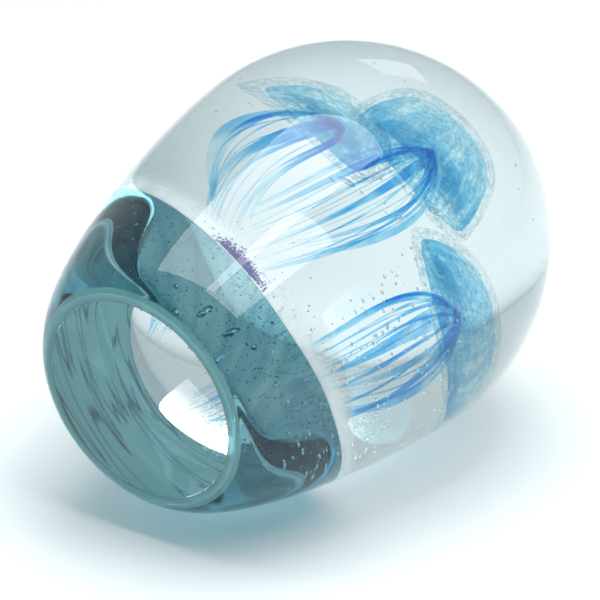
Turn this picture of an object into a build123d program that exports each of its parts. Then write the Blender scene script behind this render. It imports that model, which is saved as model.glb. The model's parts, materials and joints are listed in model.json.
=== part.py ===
"""Solid glass jellyfish paperweight.

An egg of clear crystal stands on a flat that is ground across its narrow end. A thin cup of teal glass
wraps the lower end, up to a slanted rim. The grinding has broken through the cup's floor on one side, which
leaves an off-centre clear window in the flat. Three jellyfish swim upwards in the clear glass: each has a
blue bell inside a pale veil, a bead under the bell, and drawn threads that trail down towards the flat. The
clear glass fills every space between them, so its hollows are exactly the shapes that it closes round, and a
few air bubbles.

Millimetres. The origin is the middle of the ground flat, and +Z runs up the egg's axis to its dome.
"""

from build123d import *

import os
from math import cos, radians, sin, sqrt
from typing import NamedTuple

# The egg: a quarter curve from the flat out to the widest level, and another from there over the dome.
height = 109.6
widest_radius = 40.0
widest_level = 64.7
flat_radius = 22.0
shoulder_reach = 9.0  # the flank leaves the flat in this direction, outwards and up
shoulder_rise = 3.0
flank_pull = 16.3  # how far below the widest level the flank already stands upright
dome_pull = 25.5  # how far above the widest level the dome still stands upright
dome_crown = 16.7  # radius over which the top of the dome is nearly level

level_spot = 0.25  # radius of the tiny level spot where a turned curve meets its axis

# The teal cup.
cup_wall = 0.6
cup_rim_level = 27.0  # where the rim plane crosses the axis
cup_rim_slant = 24.0  # degrees, low on the -Y side and high on the +Y side
cup_foot_ring = 1.4  # width of teal that the grinding leaves round the whole flat
cup_floor = 0.6
window_centre = (3.9, -22.4)  # the round spot where the grinding went through the cup's floor
window_radius = 19.6

# What all three jellyfish share.
veil_outside = 1.3  # thickness of the veil over its bell and below the bell's rim
veil_inside = 0.4  # thickness of the veil inside the bell's hollow
edge_share = 0.2  # thickness of a bell at its rim, as a share of its radius
bell_crown = 2.0  # height of the top of a bell's hollow over the bead
bead_radius = 0.7
thread_clearance = 0.25  # clear glass between the bead and the head of each thread

# The curve of every thread, as shares of its jellyfish's spread and of its own length.
head_width = 1.3  # how far out the thread springs from the bead
head_dip = 0.12  # how far down it already is there
waist_width = 1.15
waist_dip = 0.55
waist_drift = 0.35  # how much of the trail's sideways drift it has there
mean_length = 0.9
uneven_length = 0.1  # the threads are not all the same length


class Jellyfish(NamedTuple):
    """One jellyfish. Its bead is where the threads start, in the middle of its bell's hollow."""

    name: str
    bead: tuple  # centre of the bead
    swims: tuple  # direction that the bell faces
    radius: float  # of the bell's rim
    rise: float  # from the bead up to the top of the bell
    drop: float  # from the bead down to the bell's rim
    trail: tuple  # from the bead to the middle of the threads' ends
    belly: tuple  # sideways bow of the threads, in X and Y
    spread: float  # radius of the bundle of threads
    tail: float  # how far the bundle has closed at its lower end, as a share of the spread
    threads: int
    thread_radius: float
    first_thread: float  # degrees, where round the bead the first thread leaves


school = [
    Jellyfish(
        "back", (-8.9, 12, 79.2), (0.22, -0.25, 0.95), radius=5.2, rise=4.8, drop=3.0,
        trail=(0.6, 1, -35), belly=(-5, 0), spread=3.0, tail=0.6,
        threads=6, thread_radius=0.28, first_thread=20,
    ),
    Jellyfish(
        "middle", (-2.5, -9, 77.7), (-0.10, -0.24, 0.97), radius=9.8, rise=6.4, drop=5.0,
        trail=(-4.4, 0, -46), belly=(1.5, 0), spread=5.4, tail=0.85,
        threads=8, thread_radius=0.34, first_thread=0,
    ),
    Jellyfish(
        "front", (12.0, 9, 74.0), (0.40, -0.24, 0.88), radius=7.9, rise=7.2, drop=2.6,
        trail=(-4, 1, -41), belly=(0.5, 0.8), spread=4.2, tail=0.7,
        threads=7, thread_radius=0.3, first_thread=10,
    ),
]

# Air bubbles: centre, length along the axis and largest radius. The long ones are teardrops.
bubbles = [
    ((-5.2, -20.6, 7.9), 4.2, 0.75),
    ((0.3, -21.6, 8.8), 4.4, 0.65),
    ((4.6, -22.4, 10.2), 1.6, 0.55),
    ((-8.4, -18.6, 4.6), 1.5, 0.7),
    ((-11.6, -18.2, 8.2), 1.2, 0.5),
    ((4.0, -16.0, 66.5), 2.6, 0.6),
    ((-5.0, 6.0, 68.0), 2.4, 0.45),
    ((1.5, -14.0, 60.0), 1.6, 0.35),
]


def egg_profile(inset, foot_inset, foot_rise, foot_level):
    """Half the egg's outline as a face in the XZ plane. The cup's inside has it moved in by inset."""
    foot = flat_radius - foot_inset
    reach = flat_radius + shoulder_reach - inset
    girth = widest_radius - inset
    top = height - inset
    flank_end = widest_level - flank_pull
    dome_start = widest_level + dome_pull
    with BuildSketch(Plane.XZ) as half:
        with BuildLine():
            Line((0, foot_level), (foot, foot_level))
            Bezier((foot, foot_level), (reach, foot_rise), (girth, flank_end), (girth, widest_level))
            Bezier((girth, widest_level), (girth, dome_start), (dome_crown, top), (level_spot, top))
            Polyline((level_spot, top), (0, top), (0, foot_level))
        make_face()
    return half.sketch


def bell_profile(side, fish, outside, inside):
    """Half the section of a bell as a thick crescent, or of the veil that stands off both its sides."""
    radius = fish.radius + outside
    top = fish.rise + outside
    edge = edge_share * fish.radius + outside + inside
    lip = radius - edge
    crown = bell_crown - 2 * inside
    rim = -fish.drop - outside + 0.5 * edge
    with BuildSketch(side) as half:
        with BuildLine():
            Bezier((level_spot, top), (0.72 * radius, top), (radius, 0.42 * top), (radius, rim))
            ThreePointArc((radius, rim), (radius - 0.5 * edge, rim - 0.5 * edge), (lip, rim))
            Bezier((lip, rim), (lip, 0.5 * rim + 0.5 * crown), (0.6 * lip, crown), (level_spot, crown))
            Polyline((level_spot, crown), (0, crown), (0, top), (level_spot, top))
        make_face()
    return half.sketch


def thread_controls(fish, turn):
    """The four controls of one thread's curve: out from the bead like a fountain, then down."""
    bead = Vector(*fish.bead)
    out = Vector(cos(radians(turn)), sin(radians(turn)), 0)
    length = -fish.trail[2] * (mean_length - uneven_length * cos(radians(2 * turn + 40)))
    drift = Vector(fish.trail[0], fish.trail[1], 0)
    bow = Vector(fish.belly[0], fish.belly[1], 0)
    down = Vector(0, 0, -1)
    return [
        bead + out * (bead_radius + fish.thread_radius + thread_clearance),
        bead + out * (head_width * fish.spread) - Vector(*fish.swims).normalized() * (head_dip * length),
        bead + out * (waist_width * fish.spread) + bow + drift * waist_drift + down * (waist_dip * length),
        bead + out * (fish.tail * fish.spread) + drift + down * length,
    ]


os.makedirs("parts", exist_ok=True)
inclusions = []
bead_end = sqrt(bead_radius**2 - level_spot**2)

for fish in school:
    swim = Plane(origin=fish.bead, x_dir=(1, 0, 0), z_dir=fish.swims)
    side = Plane(origin=fish.bead, x_dir=swim.x_dir, z_dir=swim.x_dir.cross(swim.z_dir))
    swim_axis = Axis(fish.bead, swim.z_dir)

    # The bell: a thick crescent turned about the way it swims.
    with BuildPart() as bell:
        add(bell_profile(side, fish, 0, 0))
        revolve(axis=swim_axis)
    bell.part.label = f"{fish.name}_bell"
    export_step(bell.part, f"parts/{fish.name}_bell.step")

    # The veil: the pale skin of glass that closes round the bell on both sides.
    with BuildPart() as veil:
        add(bell_profile(side, fish, veil_outside, veil_inside))
        revolve(axis=swim_axis)
        envelope = veil.part
        add(bell.part, mode=Mode.SUBTRACT)
    veil.part.label = f"{fish.name}_veil"
    export_step(veil.part, f"parts/{fish.name}_veil.step")
    inclusions.append(envelope)

    # The bead that the threads were drawn from.
    with BuildPart() as bead:
        with BuildSketch(side):
            with BuildLine():
                ThreePointArc((level_spot, bead_end), (bead_radius, 0), (level_spot, -bead_end))
                Polyline((level_spot, -bead_end), (0, -bead_end), (0, bead_end), (level_spot, bead_end))
            make_face()
        revolve(axis=swim_axis)
    bead.part.label = f"{fish.name}_bead"
    export_step(bead.part, f"parts/{fish.name}_bead.step")
    inclusions.append(bead.part)

    # The threads, each its own drawn rod.
    for number in range(fish.threads):
        controls = thread_controls(fish, fish.first_thread + number * 360 / fish.threads)
        with BuildPart() as thread:
            with BuildLine() as path:
                Bezier(*controls)
            with BuildSketch(Plane(origin=path.line @ 0, z_dir=path.line % 0)):
                Circle(fish.thread_radius)
            sweep(path=path.line)
        thread.part.label = f"{fish.name}_thread_{number + 1}"
        export_step(thread.part, f"parts/{fish.name}_thread_{number + 1}.step")
        inclusions.append(thread.part)

# The teal cup: the space between the egg and its own slightly smaller shape, cut off along the slanted rim,
# with the window through its floor.
slant = radians(cup_rim_slant)
rim_plane = Plane(origin=(0, 0, cup_rim_level), x_dir=(1, 0, 0), z_dir=(0, -sin(slant), cos(slant)))
with BuildPart() as cup_inside:
    add(egg_profile(cup_wall, cup_foot_ring, shoulder_rise + cup_wall, cup_floor))
    revolve(axis=Axis.Z)
with BuildPart() as cup:
    add(egg_profile(0, 0, shoulder_rise, 0))
    revolve(axis=Axis.Z)
    add(cup_inside.part, mode=Mode.SUBTRACT)
    split(bisect_by=rim_plane, keep=Keep.BOTTOM)
    with BuildSketch(Plane.XY):
        Circle(flat_radius - cup_foot_ring)
        with Locations(window_centre):
            Circle(window_radius, mode=Mode.INTERSECT)
    extrude(amount=cup_floor, mode=Mode.SUBTRACT)
cup.part.label = "tinted_cup"
export_step(cup.part, "parts/tinted_cup.step")

# The air bubbles, each a drop that narrows towards the flat.
for centre, length, girth in bubbles:
    half = length / 2
    spot = 0.3 * girth
    with BuildPart() as bubble:
        with BuildSketch(Plane(origin=centre, x_dir=(1, 0, 0), z_dir=(0, -1, 0))):
            with BuildLine():
                Spline((spot, half), (girth, 0.1 * half), (spot, -half), tangents=((1, 0), (-0.6, -0.8)))
                Polyline((spot, -half), (0, -half), (0, half), (spot, half))
            make_face()
        revolve(axis=Axis(centre, (0, 0, 1)))
    inclusions.append(bubble.part)

# The clear glass: the whole egg less the cup, the inclusions and the air bubbles.
with BuildPart() as casing:
    add(egg_profile(0, 0, shoulder_rise, 0))
    revolve(axis=Axis.Z)
    add([cup.part, *inclusions], mode=Mode.SUBTRACT)
casing.part.label = "clear_casing"
export_step(casing.part, "parts/clear_casing.step")
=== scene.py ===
# %% [markdown]
# A solid glass paperweight: an egg of clear crystal with a teal skin round its lower end and three blue
# jellyfish inside. The CAD model comes first and stays fixed. Every piece below is drawn round it, in
# metres, in its frame: the origin is the middle of the ground flat and +Z runs up the egg to its dome.

import json
import random
from math import acos, atan2, cos, pi, radians, sin, sqrt, tan

import bmesh
import bpy
import numpy as np
from mathutils import Matrix, Vector, noise

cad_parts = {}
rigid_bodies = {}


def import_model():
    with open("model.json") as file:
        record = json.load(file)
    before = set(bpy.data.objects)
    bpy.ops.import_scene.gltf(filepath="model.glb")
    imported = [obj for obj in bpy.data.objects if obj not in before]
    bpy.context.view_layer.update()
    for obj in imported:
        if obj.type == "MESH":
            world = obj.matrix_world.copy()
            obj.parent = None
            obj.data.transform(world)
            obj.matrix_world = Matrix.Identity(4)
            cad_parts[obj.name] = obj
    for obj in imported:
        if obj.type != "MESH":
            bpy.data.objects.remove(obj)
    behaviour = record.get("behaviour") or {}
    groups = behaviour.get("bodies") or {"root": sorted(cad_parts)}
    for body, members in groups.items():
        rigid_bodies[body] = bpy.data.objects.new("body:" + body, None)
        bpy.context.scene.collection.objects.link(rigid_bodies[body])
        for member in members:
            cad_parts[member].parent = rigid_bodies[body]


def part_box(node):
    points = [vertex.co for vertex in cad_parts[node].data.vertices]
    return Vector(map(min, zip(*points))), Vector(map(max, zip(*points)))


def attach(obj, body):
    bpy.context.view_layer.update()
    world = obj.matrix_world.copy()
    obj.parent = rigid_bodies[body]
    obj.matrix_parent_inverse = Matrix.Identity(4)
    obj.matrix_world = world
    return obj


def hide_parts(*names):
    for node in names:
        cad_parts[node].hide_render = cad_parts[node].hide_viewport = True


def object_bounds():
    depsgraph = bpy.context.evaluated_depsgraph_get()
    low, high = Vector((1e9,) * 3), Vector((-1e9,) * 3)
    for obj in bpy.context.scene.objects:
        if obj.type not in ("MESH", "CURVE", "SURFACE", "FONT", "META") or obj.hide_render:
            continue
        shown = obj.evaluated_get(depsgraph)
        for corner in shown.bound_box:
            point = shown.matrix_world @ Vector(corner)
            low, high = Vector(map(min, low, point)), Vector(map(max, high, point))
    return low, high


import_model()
cad_box = [list(corner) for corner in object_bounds()]
MM = 0.001
print("the CAD box runs from", cad_box[0], "to", cad_box[1])

# %% [markdown]
# Shader maths reads best as plain expressions. A Wire is one socket whose operators add Math nodes, and a
# Bench is one material's node tree, where every other kind of node comes from the one method called node.


# %% Wires and benches
class Wire:
    """One output socket. Arithmetic on it adds Math nodes to its bench."""

    def __init__(self, bench, socket):
        self.bench = bench
        self.socket = socket

    def math(self, operation, first, second=0.0):
        return self.bench.node("ShaderNodeMath", {"operation": operation}, {0: first, 1: second})

    def __add__(self, other):
        return self.math("ADD", self, other)

    def __sub__(self, other):
        return self.math("SUBTRACT", self, other)

    def __rsub__(self, other):
        return self.math("SUBTRACT", other, self)

    def __mul__(self, other):
        return self.math("MULTIPLY", self, other)

    def __gt__(self, other):
        return self.math("GREATER_THAN", self, other)

    __radd__ = __add__
    __rmul__ = __mul__

    def ramp(self, low, high):
        """0 below low, 1 above high and a smooth step between them. With low over high it falls instead."""
        limits = {0: self, 1: low, 2: high}
        if low > high:
            limits = {0: self, 1: high, 2: low, 3: 1.0, 4: 0.0}
        return self.bench.node("ShaderNodeMapRange", {"interpolation_type": "SMOOTHSTEP"}, limits)


class Bench:
    """A new material and the tools to wire it."""

    def __init__(self, name):
        self.material = bpy.data.materials.new(name)
        self.material.use_nodes = True
        self.tree = self.material.node_tree
        self.tree.nodes.clear()

    def node(self, kind, settings=None, values=None, output=0):
        made = self.tree.nodes.new(kind)
        for setting, value in (settings or {}).items():
            setattr(made, setting, value)
        for socket, value in (values or {}).items():
            if isinstance(value, Wire):
                self.tree.links.new(value.socket, made.inputs[socket])
            else:
                made.inputs[socket].default_value = value
        return Wire(self, made.outputs[output]) if made.outputs else None

    def attribute(self, name, output="Vector"):
        return self.node("ShaderNodeAttribute", {"attribute_name": name}, output=output)

    def place(self):
        return self.node("ShaderNodeTexCoord", output="Object")

    def stretched(self, vector, scale):
        return self.node("ShaderNodeMapping", None, {"Vector": vector, "Scale": scale})

    def grain(self, vector, scale, detail=2.0, roughness=0.5):
        sockets = {"Vector": vector, "Scale": scale, "Detail": detail, "Roughness": roughness}
        return self.node("ShaderNodeTexNoise", None, sockets)

    def cells(self, vector, scale, output="Distance"):
        return self.node("ShaderNodeTexVoronoi", None, {"Vector": vector, "Scale": scale}, output)

    def clear(self, tint=(1, 1, 1)):
        """Glass colour that doesn't bend light: each surface that a ray crosses filters it by the tint."""
        return self.node("ShaderNodeBsdfTransparent", None, {"Color": (*tint, 1)})

    def powder(self, colour, roughness=0.5):
        """Grains of opaque colour, lit from outside."""
        sockets = {"Base Color": (*colour, 1), "Roughness": roughness, "Specular IOR Level": 0.3}
        return self.node("ShaderNodeBsdfPrincipled", None, sockets)

    def blend(self, share, first, second):
        return self.node("ShaderNodeMixShader", None, {0: share, 1: first, 2: second})

    def bump(self, height, strength, distance):
        sockets = {"Height": height, "Strength": strength, "Distance": distance}
        return self.node("ShaderNodeBump", None, sockets)

    def finish(self, shader):
        self.node("ShaderNodeOutputMaterial", None, {"Surface": shader})
        return self.material


print("shader tools ready")

# %% [markdown]
# The egg's outline is two quarter curves, the same ones that the CAD body was turned from. All the glass
# that follows the outside reads this one outline, moved in by a little.

# %% The egg's outline
height = cad_box[1][2] / MM
widest_radius = cad_box[1][0] / MM
widest_level = 64.7
flat_radius = 22.0
shoulder_reach = 9.0
shoulder_rise = 3.0
flank_pull = 16.3
dome_pull = 25.5
dome_crown = 16.7


def bezier(points, steps):
    """Points of a cubic curve, ends included."""
    t = np.linspace(0, 1, steps + 1)[:, None]
    a, b, c, d = (np.array(point, dtype=float) for point in points)
    return (1 - t) ** 3 * a + 3 * (1 - t) ** 2 * t * b + 3 * (1 - t) * t**2 * c + t**3 * d


flank = [
    (flat_radius, 0),
    (flat_radius + shoulder_reach, shoulder_rise),
    (widest_radius, widest_level - flank_pull),
    (widest_radius, widest_level),
]
dome = [
    (widest_radius, widest_level),
    (widest_radius, widest_level + dome_pull),
    (dome_crown, height),
    (0, height),
]
outline = np.vstack([bezier(flank, 90), bezier(dome, 80)[1:]])


def egg_radius(level, inset=0.0):
    """Radius of the egg at a level, in mm, moved in by inset."""
    return np.interp(level, outline[:, 1], outline[:, 0]) - inset


print("the egg is", round(2 * widest_radius, 1), "mm wide and", round(height, 1), "mm tall")

# %% [markdown]
# Meshes are built from grids of points. One helper joins rows of points into faces, closes the ends on a
# pole point, stores any extra values per point and gives every face a smooth normal.


# %% Mesh helpers
def new_piece(name, points, faces, values=None, sharp=None):
    """A mesh object from points in mm. values maps a name to one vector per point."""
    mesh = bpy.data.meshes.new(name)
    mesh.from_pydata([tuple(MM * c for c in p) for p in points], [], faces)
    for key, vectors in (values or {}).items():
        layer = mesh.attributes.new(key, "FLOAT_VECTOR", "POINT")
        layer.data.foreach_set("vector", np.array(vectors, dtype=float).ravel())
    work = bmesh.new()
    work.from_mesh(mesh)
    bmesh.ops.recalc_face_normals(work, faces=work.faces)
    work.to_mesh(mesh)
    work.free()
    mesh.shade_smooth()
    if sharp:
        mesh.set_sharp_from_angle(angle=radians(sharp))
    piece = bpy.data.objects.new(name, mesh)
    bpy.context.scene.collection.objects.link(piece)
    return piece


def ring_faces(start, rings, around, closed=False):
    """Quads between rings of points laid one after another. closed joins the last ring to the first."""
    faces = []
    for ring in range(rings if closed else rings - 1):
        low = start + ring * around
        high = start + (ring + 1) % rings * around
        for k in range(around):
            after = (k + 1) % around
            faces.append((low + k, low + after, high + after, high + k))
    return faces


def turned(profile, around):
    """Points and faces of a closed solid turned from (radius, level) pairs. The first and last are poles."""
    points = [(0, 0, profile[0][1])]
    for radius, level in profile[1:-1]:
        for k in range(around):
            turn = 2 * pi * k / around
            points.append((radius * cos(turn), radius * sin(turn), level))
    points.append((0, 0, profile[-1][1]))
    rings = len(profile) - 2
    faces = ring_faces(1, rings, around)
    last = 1 + (rings - 1) * around
    for k in range(around):
        after = (k + 1) % around
        faces.append((0, 1 + after, 1 + k))
        faces.append((last + k, last + after, len(points) - 1))
    return points, faces


print("mesh helpers ready")

# %% [markdown]
# The clear body is gathered crystal, shaped in a wet block and fire-polished, then ground flat
# underneath. What the eye sees is only its outside, so it is one closed surface that bends light, with
# the flat as a crisp ground face. Everything else lies inside it and doesn't bend light again. The finish
# has a breath of waviness from the block, and the flat has faint polishing marks.


# %% Clear glass
def clear_glass():
    bench = Bench("clear glass")
    place = bench.place()
    wave = bench.grain(place, 30.0, 1.0)
    polish = bench.grain(bench.stretched(place, (700, 90, 700)), 1.0, 3.0)
    on_flat = bench.node("ShaderNodeSeparateXYZ", None, {0: place}, "Z").ramp(0.0006, 0.0002)
    relief = wave * 0.06 + polish * on_flat * 0.008
    glass = bench.node(
        "ShaderNodeBsdfPrincipled",
        None,
        {
            "Base Color": (0.71, 0.775, 0.785, 1),
            "Roughness": 0.0,
            "IOR": 1.5,
            "Transmission Weight": 1.0,
            "Normal": bench.bump(relief, 0.05, 0.0004),
        },
    )
    return bench.finish(glass)


bevel = 0.2  # mm of ground face between the last two rings, which keeps the flat's edge crisp
body_profile = [(0, 0), (flat_radius - 2 * bevel, 0), (flat_radius - bevel, 0)]
body_profile += [tuple(point) for point in outline[1:]]
body_points, body_faces = turned(body_profile, 180)
body = new_piece("clear_body", body_points, body_faces, sharp=6)
body.data.materials.append(clear_glass())
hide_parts("clear_casing")
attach(body, "root")
print("clear body:", len(body.data.polygons), "faces")

# %% [markdown]
# The teal cup was picked up as coloured glass over the lower end of the gather, and its rim slants
# because the gather was dipped at an angle. The grinding broke through its floor on one side only, which
# leaves a round clear window off the middle of the flat. The cup is a thin closed wall just inside the
# clear surface: light loses the same share of red, and less of green and blue, at each crossing, so
# places that are seen through several walls turn almost black. Dark drag lines in the floor curve round
# the window.

# %% Sizes of the cup
cup_wall = 0.6
cup_rim_level = 27.0
cup_rim_slant = radians(24.0)
cup_foot_ring = 1.4
cup_floor = 0.6
window_centre = (3.9, -22.4)
window_radius = 19.6
skin_gap = 0.05  # mm between the clear surface and the colour under it
unevenness = 0.25  # mm that the rim wanders up and down


def rim_level(turn, inset):
    """Level where the cup's slanted rim plane meets the egg on one side, with a hand-made unevenness."""
    level = cup_rim_level
    for _ in range(30):
        level = cup_rim_level + tan(cup_rim_slant) * egg_radius(level, inset) * sin(turn)
    return level + unevenness * noise.noise((2.2 * cos(turn), 2.2 * sin(turn), 0.3))


def cup_point(turn, level, inset):
    radius = egg_radius(level, inset)
    return (radius * cos(turn), radius * sin(turn), level)


print("the rim runs from", round(rim_level(-pi / 2, 0), 1), "to", round(rim_level(pi / 2, 0), 1), "mm")

# %% [markdown]
# The cup's wall follows the outside of the egg. It could be a copy of the CAD cup, but that is loose
# triangles with no rows, and the glass needs a value that runs round the wall. So it is laid as rows of
# points: up the outside, over the rounded rim and down the inside, closed through the ring in the flat.
# Rows lie closer towards the foot, where the egg curves most.


# %% Wall of the cup
cup_around = 220
cup_rows = 60
bunching = 1.5  # power that draws the rows towards the foot
rim_lift = 0.12  # mm that the rim's crest stands over its two edges
twist = 0.035  # turn of the colour's swirl, in radians for each mm of height


def wall_mesh():
    """Points, faces and swirl values of the wall."""
    turns = [2 * pi * k / cup_around for k in range(cup_around)]
    tops = [rim_level(turn, 0) for turn in turns]

    def row_at(part, inset):
        return [cup_point(t, skin_gap + part * (top - skin_gap), inset) for t, top in zip(turns, tops)]

    parts = [(row / cup_rows) ** bunching for row in range(cup_rows + 1)]
    rows = [row_at(part, skin_gap) for part in parts]
    rows.append([cup_point(t, top + rim_lift, skin_gap + 0.3 * cup_wall) for t, top in zip(turns, tops)])
    for part in reversed(parts):
        foot_share = (1 - part) ** 12
        rows.append(row_at(part, skin_gap + cup_wall + (cup_foot_ring - cup_wall) * foot_share))
    points = [point for row in rows for point in row]
    swirl = []
    for x, y, z in points:
        turn = atan2(y, x) + twist * z
        swirl.append((cos(turn), sin(turn), 0.02 * z))
    return points, ring_faces(0, len(rows), cup_around, closed=True), swirl


wall_points, wall_faces, wall_swirl = wall_mesh()
print("wall of the cup:", len(wall_faces), "faces")

# %% [markdown]
# The floor of the cup is a thin crescent plate, what the grinding left between the window and the foot
# ring. A plate with a hole could be cut with a boolean, but its faces would be long slivers. Lines swept
# outwards from the window's centre give clean rows instead, and their angle and reach tell the glass how
# its drag lines curve. The third swirl value is high only here, and marks the floor.


# %% Floor of the cup
floor_mark = 3.0


def plate_faces(lines, rows):
    """Faces of a closed plate from two equal grids of points, one over the other."""
    size = lines * rows
    faces = []
    for k in range(lines - 1):
        for row in range(rows - 1):
            a = k * rows + row
            faces.append((a, a + 1, a + rows + 1, a + rows))
            faces.append((size + a, size + a + rows, size + a + rows + 1, size + a + 1))
    rim = [k * rows for k in range(lines)] + [(lines - 1) * rows + row for row in range(1, rows)]
    rim += [k * rows + rows - 1 for k in range(lines - 2, -1, -1)] + list(range(rows - 2, 0, -1))
    for a, b in zip(rim, rim[1:] + rim[:1]):
        faces.append((a, b, size + b, size + a))
    return faces


def crescent_mesh(rows=24, across=150):
    """Points, faces and swirl values of the floor plate, swept from the window's centre."""
    centre = Vector(window_centre)
    away = centre.length
    edge = flat_radius - cup_foot_ring - skin_gap
    widest = acos((away**2 + window_radius**2 - edge**2) / (2 * away * window_radius))
    heading = atan2(-centre.y, -centre.x)
    points, swirl = [], []
    for level in (skin_gap, cup_floor):
        for k in range(across + 1):
            turn = widest * (2 * k / across - 1)
            far = away * cos(turn) + sqrt(max(edge**2 - (away * sin(turn)) ** 2, 0))
            for row in range(rows + 1):
                reach = window_radius + (far - window_radius) * row / rows
                x = centre.x + reach * cos(heading + turn)
                y = centre.y + reach * sin(heading + turn)
                points.append((x, y, level))
                swirl.append((0.024 * reach, 0.1 * turn, floor_mark))
    return points, plate_faces(across + 1, rows + 1), swirl


floor_points, floor_faces, floor_swirl = crescent_mesh()
print("floor of the cup:", len(floor_faces), "faces")

# %% [markdown]
# Teal glass doesn't bend light a second time here, because it is fused to the clear glass. The wall only
# filters: each face that a ray crosses takes a share of its red, and less of its green and blue. Clouds
# and streaks vary how deep the colour is, and white specks of undissolved powder are scattered in it.
# Over the ground foot lies an opaque teal-grey film, partly the teal's own colour where the eye meets it
# bare and partly painted shade and painted glow: its grey stands in for the shaded table seen through the
# foot, and a weak emission makes it glow though it is no lamp.


# %% Teal glass
def teal_glass():
    bench = Bench("teal glass")
    place = bench.place()
    swirl = bench.attribute("swirl")
    on_foot = bench.node("ShaderNodeSeparateXYZ", None, {0: place}, "Z").ramp(0.0008, 0.0006)
    in_floor = bench.node("ShaderNodeSeparateXYZ", None, {0: swirl}, "Z") > floor_mark - 1
    cloud = bench.grain(bench.stretched(place, (60, 60, 26)), 1.0, 3.0, 0.55)
    streak = bench.grain(bench.stretched(swirl, (9, 9, 2)), 1.0, 3.0, 0.6)
    drag = bench.grain(bench.stretched(swirl, (16, 9, 1)), 1.0, 1.0)
    drag_line = drag.ramp(0.44, 0.49) * drag.ramp(0.53, 0.49) * in_floor
    depth = (cloud * 0.45 + streak * 0.55).ramp(0.36, 0.64)
    wall = bench.blend(depth, bench.clear((0.60, 0.79, 0.82)), bench.clear((0.42, 0.66, 0.72)))
    # Painted shade and painted glow: an opaque teal-grey film over the foot stands in for the shaded table
    # seen through it, and its emission glows though it is no lamp.
    shade_and_glow_film = bench.node(
        "ShaderNodeBsdfPrincipled",
        None,
        {
            "Base Color": (0.22, 0.50, 0.51, 1),
            "Roughness": 0.5,
            "Emission Color": (0.20, 0.46, 0.47, 1),
            "Emission Strength": 0.3,
        },
    )
    cloudy = bench.blend(on_foot * 0.62, wall, shade_and_glow_film)
    lined = bench.blend(drag_line * 0.7, cloudy, bench.clear((0.16, 0.40, 0.52)))
    speck = bench.cells(place, 1000.0).ramp(0.13, 0.06) * bench.grain(place, 130.0).ramp(0.54, 0.64)
    return bench.finish(bench.blend(speck * 0.7, lined, bench.powder((0.80, 0.92, 0.95), 0.35)))


cup_points = wall_points + floor_points
floor_faces = [tuple(len(wall_points) + corner for corner in face) for face in floor_faces]
cup = new_piece("teal_cup", cup_points, wall_faces + floor_faces, {"swirl": wall_swirl + floor_swirl})
cup.data.materials.append(teal_glass())
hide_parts("tinted_cup")
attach(cup, "root")
print("teal cup:", len(cup.data.polygons), "faces")

# %% [markdown]
# Each jellyfish was made first, from blue powder rolled into clear glass. Its bell is a thick crescent
# whose colour lies in streaks down its sides, with a denser, speckled rim. The veil is the skin of finely
# seeded glass that closed round it. The places come from the frame: a bead's box gives where the threads
# start.


# %% The school of jellyfish
def middle(node):
    low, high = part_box(node)
    return Vector([(a + b) / 2 / MM for a, b in zip(low, high)])


veil_outside = 1.3
veil_inside = 0.4
edge_share = 0.2
bell_crown = 2.0
school = {
    "back": {
        "swims": (0.22, -0.25, 0.95), "radius": 5.2, "rise": 4.8, "drop": 3.0, "trail": (0.6, 1, -35),
        "belly": (-5, 0), "spread": 3.0, "tail": 0.6, "threads": 6, "first": 20,
    },
    "middle": {
        "swims": (-0.10, -0.24, 0.97), "radius": 9.8, "rise": 6.4, "drop": 5.0, "trail": (-4.4, 0, -46),
        "belly": (1.5, 0), "spread": 5.4, "tail": 0.85, "threads": 8, "first": 0,
    },
    "front": {
        "swims": (0.40, -0.24, 0.88), "radius": 7.9, "rise": 7.2, "drop": 2.6, "trail": (-4, 1, -41),
        "belly": (0.5, 0.8), "spread": 4.2, "tail": 0.7, "threads": 7, "first": 10,
    },
}


print("jellyfish:", ", ".join(school))

# %% [markdown]
# A bell and its veil are the same kind of shape, so one section draws both: a bell as it is, and a veil
# as the bell moved out on every side. Turning the section would give a perfect umbrella, so each meridian
# is pulled up or down a little by smooth noise, most at the rim. The points keep their angle and how far
# out they lie, for the streaks.


# %% Shape of a bell
def bell_profile(fish, outside, inside, steps=22):
    """Section of a bell or of its veil, from the top of its hollow round the rim to the top of its dome."""
    radius = fish["radius"] + outside
    top = fish["rise"] + outside
    edge = edge_share * fish["radius"] + outside + inside
    lip = radius - edge
    crown = bell_crown - 2 * inside
    rim = -fish["drop"] - outside + 0.5 * edge
    hollow = bezier([(0, crown), (0.6 * lip, crown), (lip, 0.5 * rim + 0.5 * crown), (lip, rim)], steps)
    turns = np.linspace(pi, 2 * pi, 9)[1:-1]
    lip_round = [(radius - 0.5 * edge + 0.5 * edge * cos(t), rim + 0.5 * edge * sin(t)) for t in turns]
    dome_side = bezier([(radius, rim), (radius, 0.42 * top), (0.72 * radius, top), (0, top)], steps)
    return [tuple(p) for p in hollow] + lip_round + [tuple(p) for p in dome_side]


def bell_mesh(name, outside, inside, ruffle, around=96):
    fish = school[name]
    profile = bell_profile(fish, outside, inside)
    points, faces = turned(profile, around)
    up = Vector(fish["swims"]).normalized()
    east = Vector((1, 0, 0))
    east = (east - up * east.dot(up)).normalized()
    turn = Matrix((east, up.cross(east), up)).transposed()
    placed, meridian = [], []
    for x, y, z in points:
        out = sqrt(x * x + y * y)
        angle = atan2(y, x)
        wave = noise.noise((2.4 * cos(angle), 2.4 * sin(angle), 5.0 + fish["radius"]))
        pull = ruffle * wave * (out / fish["radius"]) ** 2
        point = Vector((x, y, z)) * (1 + 0.05 * pull) + Vector((0, 0, pull))
        placed.append(middle(f"{name}_bead") + turn @ point)
        meridian.append((cos(angle), sin(angle), out / fish["radius"]))
    return placed, faces, {"meridian": meridian}


print("bell shape ready")

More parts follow.
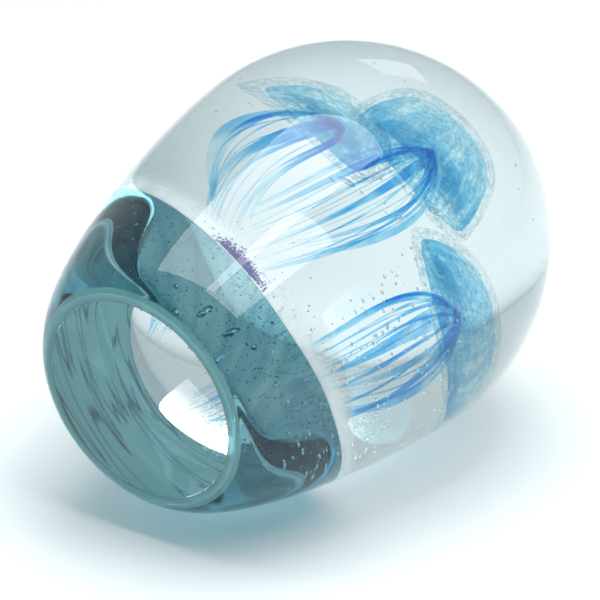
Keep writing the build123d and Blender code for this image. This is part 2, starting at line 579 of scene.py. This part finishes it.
# %% [markdown]
# Blue powder melts into streaks that run down the bell from its crown, with a denser, speckled band at
# the rim. The veil only holds fine seeds, so it greys the glass in grains. Both are filters of clear tint
# with a little opaque powder mixed in, because a wholly opaque bell would hide the threads that are seen
# through it.


# %% Bells and veils
def bell_glass():
    bench = Bench("bell glass")
    meridian = bench.attribute("meridian")
    place = bench.place()
    edge = bench.node("ShaderNodeSeparateXYZ", None, {0: meridian}, "Z")
    streak = bench.grain(bench.stretched(meridian, (7, 7, 1.1)), 1.0, 4.0, 0.65)
    fine = bench.grain(bench.stretched(meridian, (26, 26, 3)), 1.0, 2.0, 0.6)
    grit = bench.grain(place, 1300.0, 2.0, 0.7)
    patch = bench.grain(place, 150.0, 2.0)
    density = (streak * 0.8 + fine * 0.35 + patch * 0.5 + grit * 0.35).ramp(0.86, 1.16)
    rim = edge.ramp(0.72, 1.02) * (streak + patch).ramp(0.9, 1.15)
    pale = bench.clear((0.90, 0.98, 0.99))
    blue = bench.blend(0.12, bench.clear((0.58, 0.87, 0.98)), bench.powder((0.10, 0.50, 0.82), 0.6))
    ink = bench.blend(0.15, bench.clear((0.34, 0.75, 0.95)), bench.powder((0.06, 0.46, 0.82), 0.6))
    return bench.finish(bench.blend(rim * 0.8, bench.blend(density, pale, blue), ink))


def veil_glass():
    bench = Bench("veil glass")
    place = bench.place()
    seeds = bench.grain(place, 1500.0, 2.0, 0.75)
    soft = bench.grain(place, 240.0)
    density = (seeds * 0.9 + soft * 0.4).ramp(0.58, 0.8)
    mist = bench.blend(0.2, bench.clear((0.80, 0.90, 0.93)), bench.powder((0.58, 0.70, 0.75)))
    return bench.finish(bench.blend(density, bench.clear((0.96, 0.985, 0.99)), mist))


bell_finish = bell_glass()
veil_finish = veil_glass()
ruffle = 0.5
skins = (("bell", bell_finish, 0, 0), ("veil", veil_finish, veil_outside - skin_gap, veil_inside - skin_gap))
for name in school:
    for part, finish, outside, inside in skins:
        points, faces, values = bell_mesh(name, outside, inside, ruffle)
        piece = new_piece(f"{name}_{part}_glass", points, faces, values)
        piece.data.materials.append(finish)
        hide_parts(f"{name}_{part}")
        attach(piece, "root")
print("bells and veils:", 2 * len(school), "pieces")

# %% [markdown]
# The threads were pulled from the bead like toffee, so each is thick where it leaves the bead, thins
# towards its tail and is flattened into a ribbon here and there. A Geometry Nodes tree draws them: it
# takes one line for each thread, sweeps a flat oval along it by a radius stored on the points, and makes
# the tapered skin.


# %% Thread lines
head_width = 1.3
head_dip = 0.12
waist_width = 1.15
waist_dip = 0.55
waist_drift = 0.35
mean_length = 0.9
uneven_length = 0.1


def thread_line(fish, bead, turn, widening=1.0, steps=36):
    """Points of one thread's curve: out from the bead like a fountain, then down in the bundle."""
    start = np.array(bead)
    out = np.array([cos(turn), sin(turn), 0])
    length = -fish["trail"][2] * (mean_length - uneven_length * cos(2 * turn + radians(40)))
    drift = np.array([fish["trail"][0], fish["trail"][1], 0])
    bow = np.array([fish["belly"][0], fish["belly"][1], 0])
    down = np.array([0, 0, -1])
    swims = np.array(Vector(fish["swims"]).normalized())
    spread = fish["spread"] * widening
    controls = [
        start + out * 0.6,
        start + out * (head_width * spread) - swims * (head_dip * length),
        start + out * (waist_width * spread) + bow + drift * waist_drift + down * (waist_dip * length),
        start + out * (fish["tail"] * spread) + drift + down * length,
    ]
    return bezier(controls, steps)


def thread_curves(name):
    """The lines of one jellyfish: a broad one for each thread, and two hairs drawn out beside it."""
    fish = school[name]
    bead = middle(f"{name}_bead")
    curve = bpy.data.curves.new(f"{name}_lines", "CURVE")
    curve.dimensions = "3D"
    dice = random.Random(name)
    for number in range(3 * fish["threads"]):
        turn = radians(fish["first"] + (number // 3) * 360 / fish["threads"])
        hair = number % 3
        breadth = dice.uniform(0.8, 1.7) if hair == 0 else dice.uniform(0.22, 0.5)
        widening = 1.0 if hair == 0 else dice.uniform(0.75, 1.02)
        points = thread_line(fish, bead, turn + 0.22 * (hair == 1) - 0.3 * (hair == 2), widening)
        spline = curve.splines.new("POLY")
        spline.points.add(len(points) - 1)
        for k, point in enumerate(points):
            part = k / (len(points) - 1)
            swell = 1 + 0.45 * noise.noise((number * 3.1, part * 4, 7.7))
            spline.points[k].co = (*(MM * c for c in point), 1)
            spline.points[k].radius = breadth * swell * min(1.0, 0.45 + 5 * part) * (1 - 0.7 * part)
            spline.points[k].tilt = 2.4 * part + number
    holder = bpy.data.objects.new(f"{name}_lines", curve)
    bpy.context.scene.collection.objects.link(holder)
    return holder


print("thread lines ready")

# %% [markdown]
# The tree stores how far along its line each point lies, for the colour, then sweeps the oval and scales
# it by the radius of the line. Its one size is an input, so a thinner or a thicker set of threads needs
# no second tree.


# %% Drawing tree
def drawing_tree(material):
    tree = bpy.data.node_groups.new("drawn threads", "GeometryNodeTree")
    tree.interface.new_socket("Geometry", in_out="INPUT", socket_type="NodeSocketGeometry")
    width = tree.interface.new_socket("Width", in_out="INPUT", socket_type="NodeSocketFloat")
    tree.interface.new_socket("Geometry", in_out="OUTPUT", socket_type="NodeSocketGeometry")
    add, link = tree.nodes.new, tree.links.new
    entry, leave = add("NodeGroupInput"), add("NodeGroupOutput")
    oval = add("GeometryNodeCurvePrimitiveCircle")
    oval.inputs["Resolution"].default_value = 12
    oval.inputs["Radius"].default_value = 1.0
    flat = add("GeometryNodeTransform")
    flat.inputs["Scale"].default_value = (1.0, 0.35, 1.0)
    sized = add("GeometryNodeTransform")
    scale = add("ShaderNodeCombineXYZ")
    along = add("GeometryNodeSplineParameter")
    keep = add("GeometryNodeStoreNamedAttribute")
    keep.data_type = "FLOAT"
    keep.inputs["Name"].default_value = "along"
    sweep = add("GeometryNodeCurveToMesh")
    sweep.inputs["Fill Caps"].default_value = True
    smooth = add("GeometryNodeSetShadeSmooth")
    realize = add("GeometryNodeRealizeInstances")
    coat = add("GeometryNodeSetMaterial")
    coat.inputs["Material"].default_value = material
    link(entry.outputs["Geometry"], keep.inputs["Geometry"])
    link(along.outputs["Factor"], keep.inputs["Value"])
    link(oval.outputs["Curve"], flat.inputs["Geometry"])
    for axis in "XYZ":
        link(entry.outputs["Width"], scale.inputs[axis])
    link(flat.outputs["Geometry"], sized.inputs["Geometry"])
    link(scale.outputs[0], sized.inputs["Scale"])
    link(keep.outputs["Geometry"], sweep.inputs["Curve"])
    link(sized.outputs["Geometry"], sweep.inputs["Profile Curve"])
    link(add("GeometryNodeInputRadius").outputs["Radius"], sweep.inputs["Scale"])
    link(sweep.outputs["Mesh"], smooth.inputs["Geometry"])
    link(smooth.outputs["Geometry"], realize.inputs["Geometry"])
    link(realize.outputs["Geometry"], coat.inputs["Geometry"])
    link(coat.outputs["Geometry"], leave.inputs["Geometry"])
    return tree, width.identifier


def made_plain(source, tree, settings, name):
    """Runs a tree on an object and returns its result as a plain mesh object. The source is removed."""
    modifier = source.modifiers.new("tree", "NODES")
    modifier.node_group = tree
    for identifier, value in settings.items():
        modifier[identifier] = value
    depsgraph = bpy.context.evaluated_depsgraph_get()
    mesh = bpy.data.meshes.new_from_object(source.evaluated_get(depsgraph), depsgraph=depsgraph)
    bpy.data.objects.remove(source)
    piece = bpy.data.objects.new(name, mesh)
    bpy.context.scene.collection.objects.link(piece)
    return piece


print("drawing tree ready")

# %% [markdown]
# Drawn glass keeps the streaks of the gob that it came from. The colour is densest at the bead and washes
# out towards the tail, where a thread is almost clear.


# %% Threads
thread_girth = 0.55 * MM


def thread_glass():
    bench = Bench("thread glass")
    along = bench.attribute("along", "Fac")
    place = bench.place()
    streak = bench.grain(bench.stretched(place, (900, 900, 60)), 1.0, 2.0)
    wash = bench.grain(place, 120.0)
    density = (streak * 0.8 + wash * 0.9).ramp(0.6, 1.05) * (along.ramp(1.0, 0.4) * 0.8 + 0.2)
    pale = bench.clear((0.88, 0.97, 0.99))
    blue = bench.blend(0.08, bench.clear((0.40, 0.76, 0.97)), bench.powder((0.08, 0.48, 0.84)))
    return bench.finish(bench.blend(density, pale, blue))


thread_finish = thread_glass()
thread_tree, thread_width = drawing_tree(thread_finish)
for name, fish in school.items():
    threads = made_plain(thread_curves(name), thread_tree, {thread_width: thread_girth}, f"{name}_threads")
    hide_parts(*(f"{name}_thread_{n + 1}" for n in range(fish["threads"])))
    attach(threads, "root")
    print(name, "threads:", len(threads.data.polygons), "faces")

# %% [markdown]
# The bead is the little gob that the threads were pulled from. Pulling leaves it lumpy, with a shallow
# dimple under each thread, so it is a turned ball whose radius is moved by smooth noise.


# %% Beads
def bead_mesh(name, radius=0.85, rings=20, around=32):
    """A lumpy ball round the middle of the CAD bead."""
    levels = [-radius * cos(pi * k / rings) for k in range(rings + 1)]
    profile = [(sqrt(max(radius**2 - level**2, 0)), level) for level in levels]
    points, faces = turned(profile, around)
    centre = middle(f"{name}_bead")
    lumpy = [centre + Vector(p) * (1 + 0.22 * noise.noise(Vector(p) * 1.9 + centre)) for p in points]
    return lumpy, faces


def bead_glass():
    bench = Bench("bead glass")
    swirl = bench.grain(bench.place(), 900.0, 3.0, 0.6).ramp(0.4, 0.62)
    light = bench.clear((0.55, 0.82, 0.96))
    dark = bench.blend(0.3, bench.clear((0.22, 0.50, 0.86)), bench.powder((0.04, 0.28, 0.75)))
    return bench.finish(bench.blend(swirl, light, dark))


bead_finish = bead_glass()
for name in school:
    bead = new_piece(f"{name}_bead_glass", *bead_mesh(name))
    bead.data.materials.append(bead_finish)
    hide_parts(f"{name}_bead")
    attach(bead, "root")
print("beads:", len(school))

# %% [markdown]
# A few air bubbles were trapped between the gathers. Two near the foot were drawn out into teardrops. Air
# bends light the other way round from glass, so each bubble is a small closed surface whose index is one
# over the glass's.


# %% Air bubbles
bubbles = [  # centre, length and girth of each, in mm
    ((-5.2, -20.6, 7.9), 4.2, 0.75),
    ((0.3, -21.6, 8.8), 4.4, 0.65),
    ((4.6, -22.4, 10.2), 1.6, 0.55),
    ((-8.4, -18.6, 4.6), 1.5, 0.7),
    ((-11.6, -18.2, 8.2), 1.2, 0.5),
    ((4.0, -16.0, 66.5), 2.6, 0.6),
    ((-5.0, 6.0, 68.0), 2.4, 0.45),
    ((1.5, -14.0, 60.0), 1.6, 0.35),
]


def air():
    bench = Bench("air")
    ripple = bench.bump(bench.grain(bench.place(), 600.0), 0.1, 0.0001)
    hollow = bench.node("ShaderNodeBsdfGlass", None, {"Roughness": 0.0, "IOR": 1 / 1.5, "Normal": ripple})
    return bench.finish(hollow)


air_finish = air()
for number, (centre, length, girth) in enumerate(bubbles, 1):
    half = length / 2
    lower = bezier([(0, -half), (0.45 * girth, -half), (girth, -0.35 * half), (girth, 0.15 * half)], 12)
    upper = bezier([(girth, 0.15 * half), (girth, 0.7 * half), (0.6 * girth, half), (0, half)], 12)
    points, faces = turned([tuple(p) for p in np.vstack([lower, upper[1:]])], 28)
    lean = Matrix.Rotation(0.12 * number, 3, "Y")
    drop = new_piece(f"air_bubble_{number}", [Vector(centre) + lean @ Vector(p) for p in points], faces)
    drop.data.materials.append(air_finish)
    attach(drop, "root")
print("air bubbles:", len(bubbles))

# %% [markdown]
# Hundreds of seeds, finer than a grain of salt, hang in the glass round the foot and round the trailing
# threads, and short hairline checks stand along the rim of the teal. Both are one small shape repeated,
# so one Geometry Nodes tree scatters them: it takes loose points that carry a direction, and puts a
# little ball on each, stretched along that direction and sized by seeded chance.


# %% Scattering tree
def scatter_tree(material):
    tree = bpy.data.node_groups.new("scattered grains", "GeometryNodeTree")
    tree.interface.new_socket("Geometry", in_out="INPUT", socket_type="NodeSocketGeometry")
    inputs = {}
    for label, kind in (("Smallest", "Float"), ("Largest", "Float"), ("Stretch", "Float"), ("Seed", "Int")):
        made = tree.interface.new_socket(label, in_out="INPUT", socket_type=f"NodeSocket{kind}")
        inputs[label] = made.identifier
    tree.interface.new_socket("Geometry", in_out="OUTPUT", socket_type="NodeSocketGeometry")
    add, link = tree.nodes.new, tree.links.new
    entry, leave = add("NodeGroupInput"), add("NodeGroupOutput")
    ball = add("GeometryNodeMeshIcoSphere")
    ball.inputs["Radius"].default_value = 1.0
    ball.inputs["Subdivisions"].default_value = 1
    shape = add("ShaderNodeCombineXYZ")
    shape.inputs["X"].default_value = 1.0
    shape.inputs["Y"].default_value = 1.0
    long_ball = add("GeometryNodeTransform")
    chance = add("FunctionNodeRandomValue")
    lean = add("GeometryNodeInputNamedAttribute")
    lean.data_type = "FLOAT_VECTOR"
    lean.inputs["Name"].default_value = "lean"
    turn = add("FunctionNodeAlignRotationToVector")
    turn.axis = "Z"
    place = add("GeometryNodeInstanceOnPoints")
    smooth = add("GeometryNodeSetShadeSmooth")
    realize = add("GeometryNodeRealizeInstances")
    coat = add("GeometryNodeSetMaterial")
    coat.inputs["Material"].default_value = material
    link(entry.outputs["Stretch"], shape.inputs["Z"])
    link(ball.outputs["Mesh"], long_ball.inputs["Geometry"])
    link(shape.outputs[0], long_ball.inputs["Scale"])
    link(entry.outputs["Smallest"], chance.inputs[2])
    link(entry.outputs["Largest"], chance.inputs[3])
    link(entry.outputs["Seed"], chance.inputs["Seed"])
    link(lean.outputs["Attribute"], turn.inputs["Vector"])
    link(entry.outputs["Geometry"], place.inputs["Points"])
    link(long_ball.outputs["Geometry"], place.inputs["Instance"])
    link(turn.outputs["Rotation"], place.inputs["Rotation"])
    link(chance.outputs[1], place.inputs["Scale"])
    link(place.outputs["Instances"], smooth.inputs["Geometry"])
    link(smooth.outputs["Geometry"], realize.inputs["Geometry"])
    link(realize.outputs["Geometry"], coat.inputs["Geometry"])
    link(coat.outputs["Geometry"], leave.inputs["Geometry"])
    return tree, inputs


def scattered(name, points, leans, sizes, stretch, seed, material):
    """A plain mesh with one grain on each point."""
    tree, inputs = scatter_tree(material)
    source = new_piece(f"{name}_points", points, [], {"lean": leans})
    settings = {
        inputs["Smallest"]: sizes[0] * MM,
        inputs["Largest"]: sizes[1] * MM,
        inputs["Stretch"]: float(stretch),
        inputs["Seed"]: seed,
    }
    return made_plain(source, tree, settings, name)


print("scattering ready")

# %% [markdown]
# The seeds gather in three places: a thick band under the surface that follows the rim of the teal, the
# foot of the cup, and a cloud round the threads of the front jellyfish. A few lie anywhere.


# %% Seeds
def in_wall(dice, turn_range, above_rim, depth):
    """A place under the side of the egg, given how far above the rim and how deep it may lie."""
    turn = radians(dice.uniform(*turn_range))
    level = max(rim_level(turn, 0) + dice.uniform(*above_rim), 1.5)
    return cup_point(turn, level, dice.uniform(*depth))


def seed_points():
    dice = random.Random(20)
    points = [in_wall(dice, (-165, -15), (-22, 5), (1.2, 5)) for _ in range(560)]
    points += [in_wall(dice, (-120, 30), (-7, 9), (1.2, 9)) for _ in range(260)]
    front = middle("front_bead")
    for _ in range(420):
        down = dice.uniform(-4, 40)
        turn = dice.uniform(0, 2 * pi)
        off = dice.uniform(1.5, 8.5)
        x = front.x + off * cos(turn) + 0.03 * down
        y = front.y + off * sin(turn) + 0.05 * down
        points.append((x, y, front.z - down))
    for _ in range(110):
        level = dice.uniform(4, 100)
        turn = dice.uniform(0, 2 * pi)
        off = egg_radius(level) * sqrt(dice.uniform(0, 0.9))
        points.append((off * cos(turn), off * sin(turn), level))
    return points


seeds_at = seed_points()
seeds = scattered("seeds", seeds_at, [(0.1, 0, 1)] * len(seeds_at), (0.06, 0.24), 1.4, 3, air_finish)
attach(seeds, "root")
print("seeds:", len(seeds_at), "bubbles,", len(seeds.data.polygons), "faces")


# %% [markdown]
# Loose colour powder stuck to the gather too: white flecks in the teal, a few dark ones anywhere, and one
# smear of deep blue along the rim. They are the same grains in other colours.


# %% Flecks
def fleck(name, colour, roughness):
    bench = Bench(name)
    worn = bench.grain(bench.place(), 2500.0).ramp(0.3, 0.5)
    return bench.finish(bench.blend(worn * 0.4 + 0.55, bench.clear(colour), bench.powder(colour, roughness)))


def white_places():
    dice = random.Random(31)
    return [in_wall(dice, (-150, -35), (-17, 2), (0.9, 4)) for _ in range(480)]


def dark_places():
    dice = random.Random(32)
    return [in_wall(dice, (-180, 60), (-4, 70), (1.5, 12)) for _ in range(70)]


def blue_places():
    dice = random.Random(33)
    places = []
    for _ in range(1000):
        turn = radians(dice.gauss(-107, 5.5))
        level = rim_level(turn, 0) + 0.5 + abs(dice.gauss(0, 0.8))
        places.append(cup_point(turn, level, dice.uniform(0.25, 0.5)))
    return places


white = fleck("white fleck", (0.93, 0.98, 0.99), 0.3)
dark = fleck("dark fleck", (0.03, 0.04, 0.06), 0.5)
blue = fleck("blue fleck", (0.015, 0.08, 0.62), 0.6)
flecks = (
    ("white_flecks", white_places(), (0.06, 0.21), white, "teal_glass"),
    ("dark_flecks", dark_places(), (0.05, 0.16), dark, "clear_glass"),
    ("blue_flecks", blue_places(), (0.06, 0.2), blue, "bell_glass"),
)
for name, places, sizes, finish, slot in flecks:
    grains = scattered(name, places, [(0, 0.3, 1)] * len(places), sizes, 1.2, len(name), finish)
    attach(grains, "root")
    print(name, len(places))

# %% [markdown]
# Just over the rim the clear glass carries a white band of painted light: it stands in for the bright
# table seen through the glass there, and a weak emission makes it glow though it is no lamp. It is one
# more thin closed wall under the surface, densest at the rim and gone five millimetres higher.


# %% Painted glowing band over the rim
def line_mesh(around=200, rows=10, tall=5.5, thick=0.3):
    turns = [2 * pi * k / around for k in range(around)]
    grids, fade = [], []
    for inset in (0.6, 0.6 + thick):
        for row in range(rows + 1):
            part = row / rows
            grids.append([cup_point(t, rim_level(t, 0) + 0.3 + tall * part, inset) for t in turns])
            fade += [(part, 0, 0)] * around
    order = grids[: rows + 1] + grids[rows + 1 :][::-1]
    fades = fade[: (rows + 1) * around] + fade[(rows + 1) * around :][::-1]
    points = [point for ring in order for point in ring]
    return points, ring_faces(0, len(order), around, closed=True), {"fade": fades}


def painted_glow_band():
    bench = Bench("painted_glow_band")
    fade = bench.node("ShaderNodeSeparateXYZ", None, {0: bench.attribute("fade")}, "X")
    cloud = bench.grain(bench.place(), 70.0, 2.0).ramp(0.3, 0.6)
    # Painted light: a white layer with a weak emission, glowing though it is no lamp, stands in for the
    # bright table seen through the glass over the rim.
    white = bench.node(
        "ShaderNodeBsdfPrincipled",
        None,
        {
            "Base Color": (0.95, 0.99, 1, 1),
            "Roughness": 0.6,
            "Emission Color": (1, 1, 1, 1),
            "Emission Strength": 0.35,
        },
    )
    return bench.finish(bench.blend(fade.ramp(1.0, 0.1) * (cloud * 0.3 + 0.16), bench.clear(), white))


line = new_piece("glowing_rim_band", *line_mesh())
line.data.materials.append(painted_glow_band())
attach(line, "root")
print("milky line:", len(line.data.polygons), "faces")

# %% [markdown]
# The teal shrinks a little more than the clear glass as it cools, so its rim is crazed with short checks
# that catch the light as white hairs. They stand up and down the side, mostly where the rim is lowest.


# %% Checks along the rim
def check_white():
    bench = Bench("check white")
    worn = bench.grain(bench.place(), 800.0).ramp(0.35, 0.6)
    return bench.finish(bench.blend(worn * 0.5 + 0.35, bench.clear(), bench.powder((0.93, 0.97, 0.98), 0.3)))


def rim_checks():
    dice = random.Random(7)
    points, leans = [], []
    for _ in range(170):
        turn = radians(dice.gauss(-62, 26))
        level = rim_level(turn, 0) + dice.uniform(-2.2, 1.0)
        points.append(cup_point(turn, level, 0.5))
        rise = egg_radius(level + 1) - egg_radius(level - 1)
        leans.append((0.5 * rise * cos(turn) + dice.uniform(-0.25, 0.25), 0.5 * rise * sin(turn), 1.0))
    return points, leans


check_at, check_leans = rim_checks()
checks = scattered("rim_checks", check_at, check_leans, (0.025, 0.05), 26, 5, check_white())
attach(checks, "root")
print("rim checks:", len(check_at))

# %% [markdown]
# The table is a plain white sheet that the egg lies on. The egg's own frame stands it upright, so the
# sheet is tilted instead, and pushed out until it just touches the egg's side. It is only seen from its
# upper side, because some views of an upright egg come from below it.

# %% Table
floor_up = Vector((-0.730, -0.667, 0.147)).normalized()
sideways = sqrt(1 - floor_up.z**2)
lowest = min(level * floor_up.z - radius * sideways for radius, level in outline)
floor_place = floor_up * (lowest - 0.02)
east = floor_up.orthogonal().normalized()
north = floor_up.cross(east)
span = 2500
square = ((-1, -1), (1, -1), (1, 1), (-1, 1))
corners = [floor_place + east * (a * span) + north * (b * span) for a, b in square]
table_mesh = bpy.data.meshes.new("table")
table_mesh.from_pydata([corner * MM for corner in corners], [], [(0, 1, 2, 3)])
table = bpy.data.objects.new("table", table_mesh)
bpy.context.scene.collection.objects.link(table)


def table_white():
    bench = Bench("table white")
    sheet = bench.node("ShaderNodeBsdfDiffuse", None, {"Color": (0.88, 0.89, 0.89, 1)})
    glow = bench.node("ShaderNodeEmission", None, {"Color": (1, 1, 1, 1), "Strength": 0.06})
    lit = bench.node("ShaderNodeAddShader", None, {0: sheet, 1: glow})
    behind = bench.node("ShaderNodeNewGeometry", output="Backfacing")
    return bench.finish(bench.blend(behind, lit, bench.clear()))


table_mesh.materials.append(table_white())
print("the table is", span / 500, "m wide")

# %% [markdown]
# Glass shows what stands round it, so the light is a tent: pale all round, and darker towards the open
# side that one looks in from, which draws the dark edges in the teal. Three square lamps give the bright
# shapes in the glass. The tent is the world's own node tree, wired with the same tools as a material.


# %% Light
class Tent(Bench):
    """The world's node tree on a bench."""

    def __init__(self, world):
        world.use_nodes = True
        self.tree = world.node_tree
        self.tree.nodes.clear()


world = bpy.data.worlds.new("tent")
bpy.context.scene.world = world
tent = Tent(world)
direction = tent.node("ShaderNodeTexCoord", output="Generated")
open_side = {0: direction, 1: (0, -0.742, -0.671)}
facing = tent.node("ShaderNodeVectorMath", {"operation": "DOT_PRODUCT"}, open_side, "Value")
darkening = tent.node("ShaderNodeMapRange", None, {"Value": facing, "From Min": 0.1, "From Max": 0.9})
pale_wall = (0.60, 0.68, 0.69, 1)
dim_wall = (0.26, 0.38, 0.42, 1)
colour = tent.node("ShaderNodeMix", {"data_type": "RGBA"}, {0: darkening, 6: pale_wall, 7: dim_wall}, 2)
backdrop = tent.node("ShaderNodeBackground", None, {"Color": colour})
tent.node("ShaderNodeOutputWorld", None, {"Surface": backdrop})


def softbox(name, towards, distance, size, power):
    """A square lamp over the table that faces the egg."""
    light = bpy.data.lights.new(name, "AREA")
    light.size = size
    light.energy = power
    lamp = bpy.data.objects.new(name, light)
    aim = Vector((0, 0, 0.055))
    away = Vector(towards).normalized()
    lamp.location = aim + away * distance
    lamp.rotation_euler = away.to_track_quat("Z", "Y").to_euler()
    bpy.context.scene.collection.objects.link(lamp)
    return lamp


softbox("overhead", floor_up, 0.55, 0.43, 2.2)
softbox("window", (-0.312, -0.949, 0.03), 1.0, 0.5, 3.0)
softbox("pane", (-0.493, -0.046, 0.869), 0.8, 0.2, 0.14)
print("lamps: overhead, window and pane")

# %% [markdown]
# The camera stands far off with a long lens, low enough to look into the ground flat, and it is rolled
# because the egg lies on its side on the table.

# %% Camera
camera_data = bpy.data.cameras.new("camera")
camera_data.lens = 290.6
camera_data.sensor_width = 36
camera_data.clip_end = 20
camera = bpy.data.objects.new("camera", camera_data)
bpy.context.scene.collection.objects.link(camera)
right = Vector((0.606, -0.5335, 0.5901)).normalized()
view = Vector((0, 0.7418, 0.6706)).normalized()
up = right.cross(view).normalized()
right = view.cross(up)
camera.matrix_world = Matrix.Translation(Vector((3.3, -691.2, -577.5)) * MM) @ Matrix(
    (right, up, -view)
).transposed().to_4x4()
bpy.context.scene.camera = camera
print("the camera stands", round(camera.location.length, 2), "m away")

# %% [markdown]
# White has to stay white, so the colours are shown as they are, without a film look. A ray crosses dozens
# of glass faces before it leaves the egg, and each is a bounce, so the limits are high.

# %% Colour and bounces
scene = bpy.context.scene
scene.view_settings.view_transform = "Standard"
scene.cycles.max_bounces = 48
scene.cycles.transmission_bounces = 32
scene.cycles.glossy_bounces = 8
scene.cycles.diffuse_bounces = 3
scene.cycles.transparent_max_bounces = 64
scene.cycles.use_denoising = True
print("a ray may bounce", scene.cycles.max_bounces, "times")
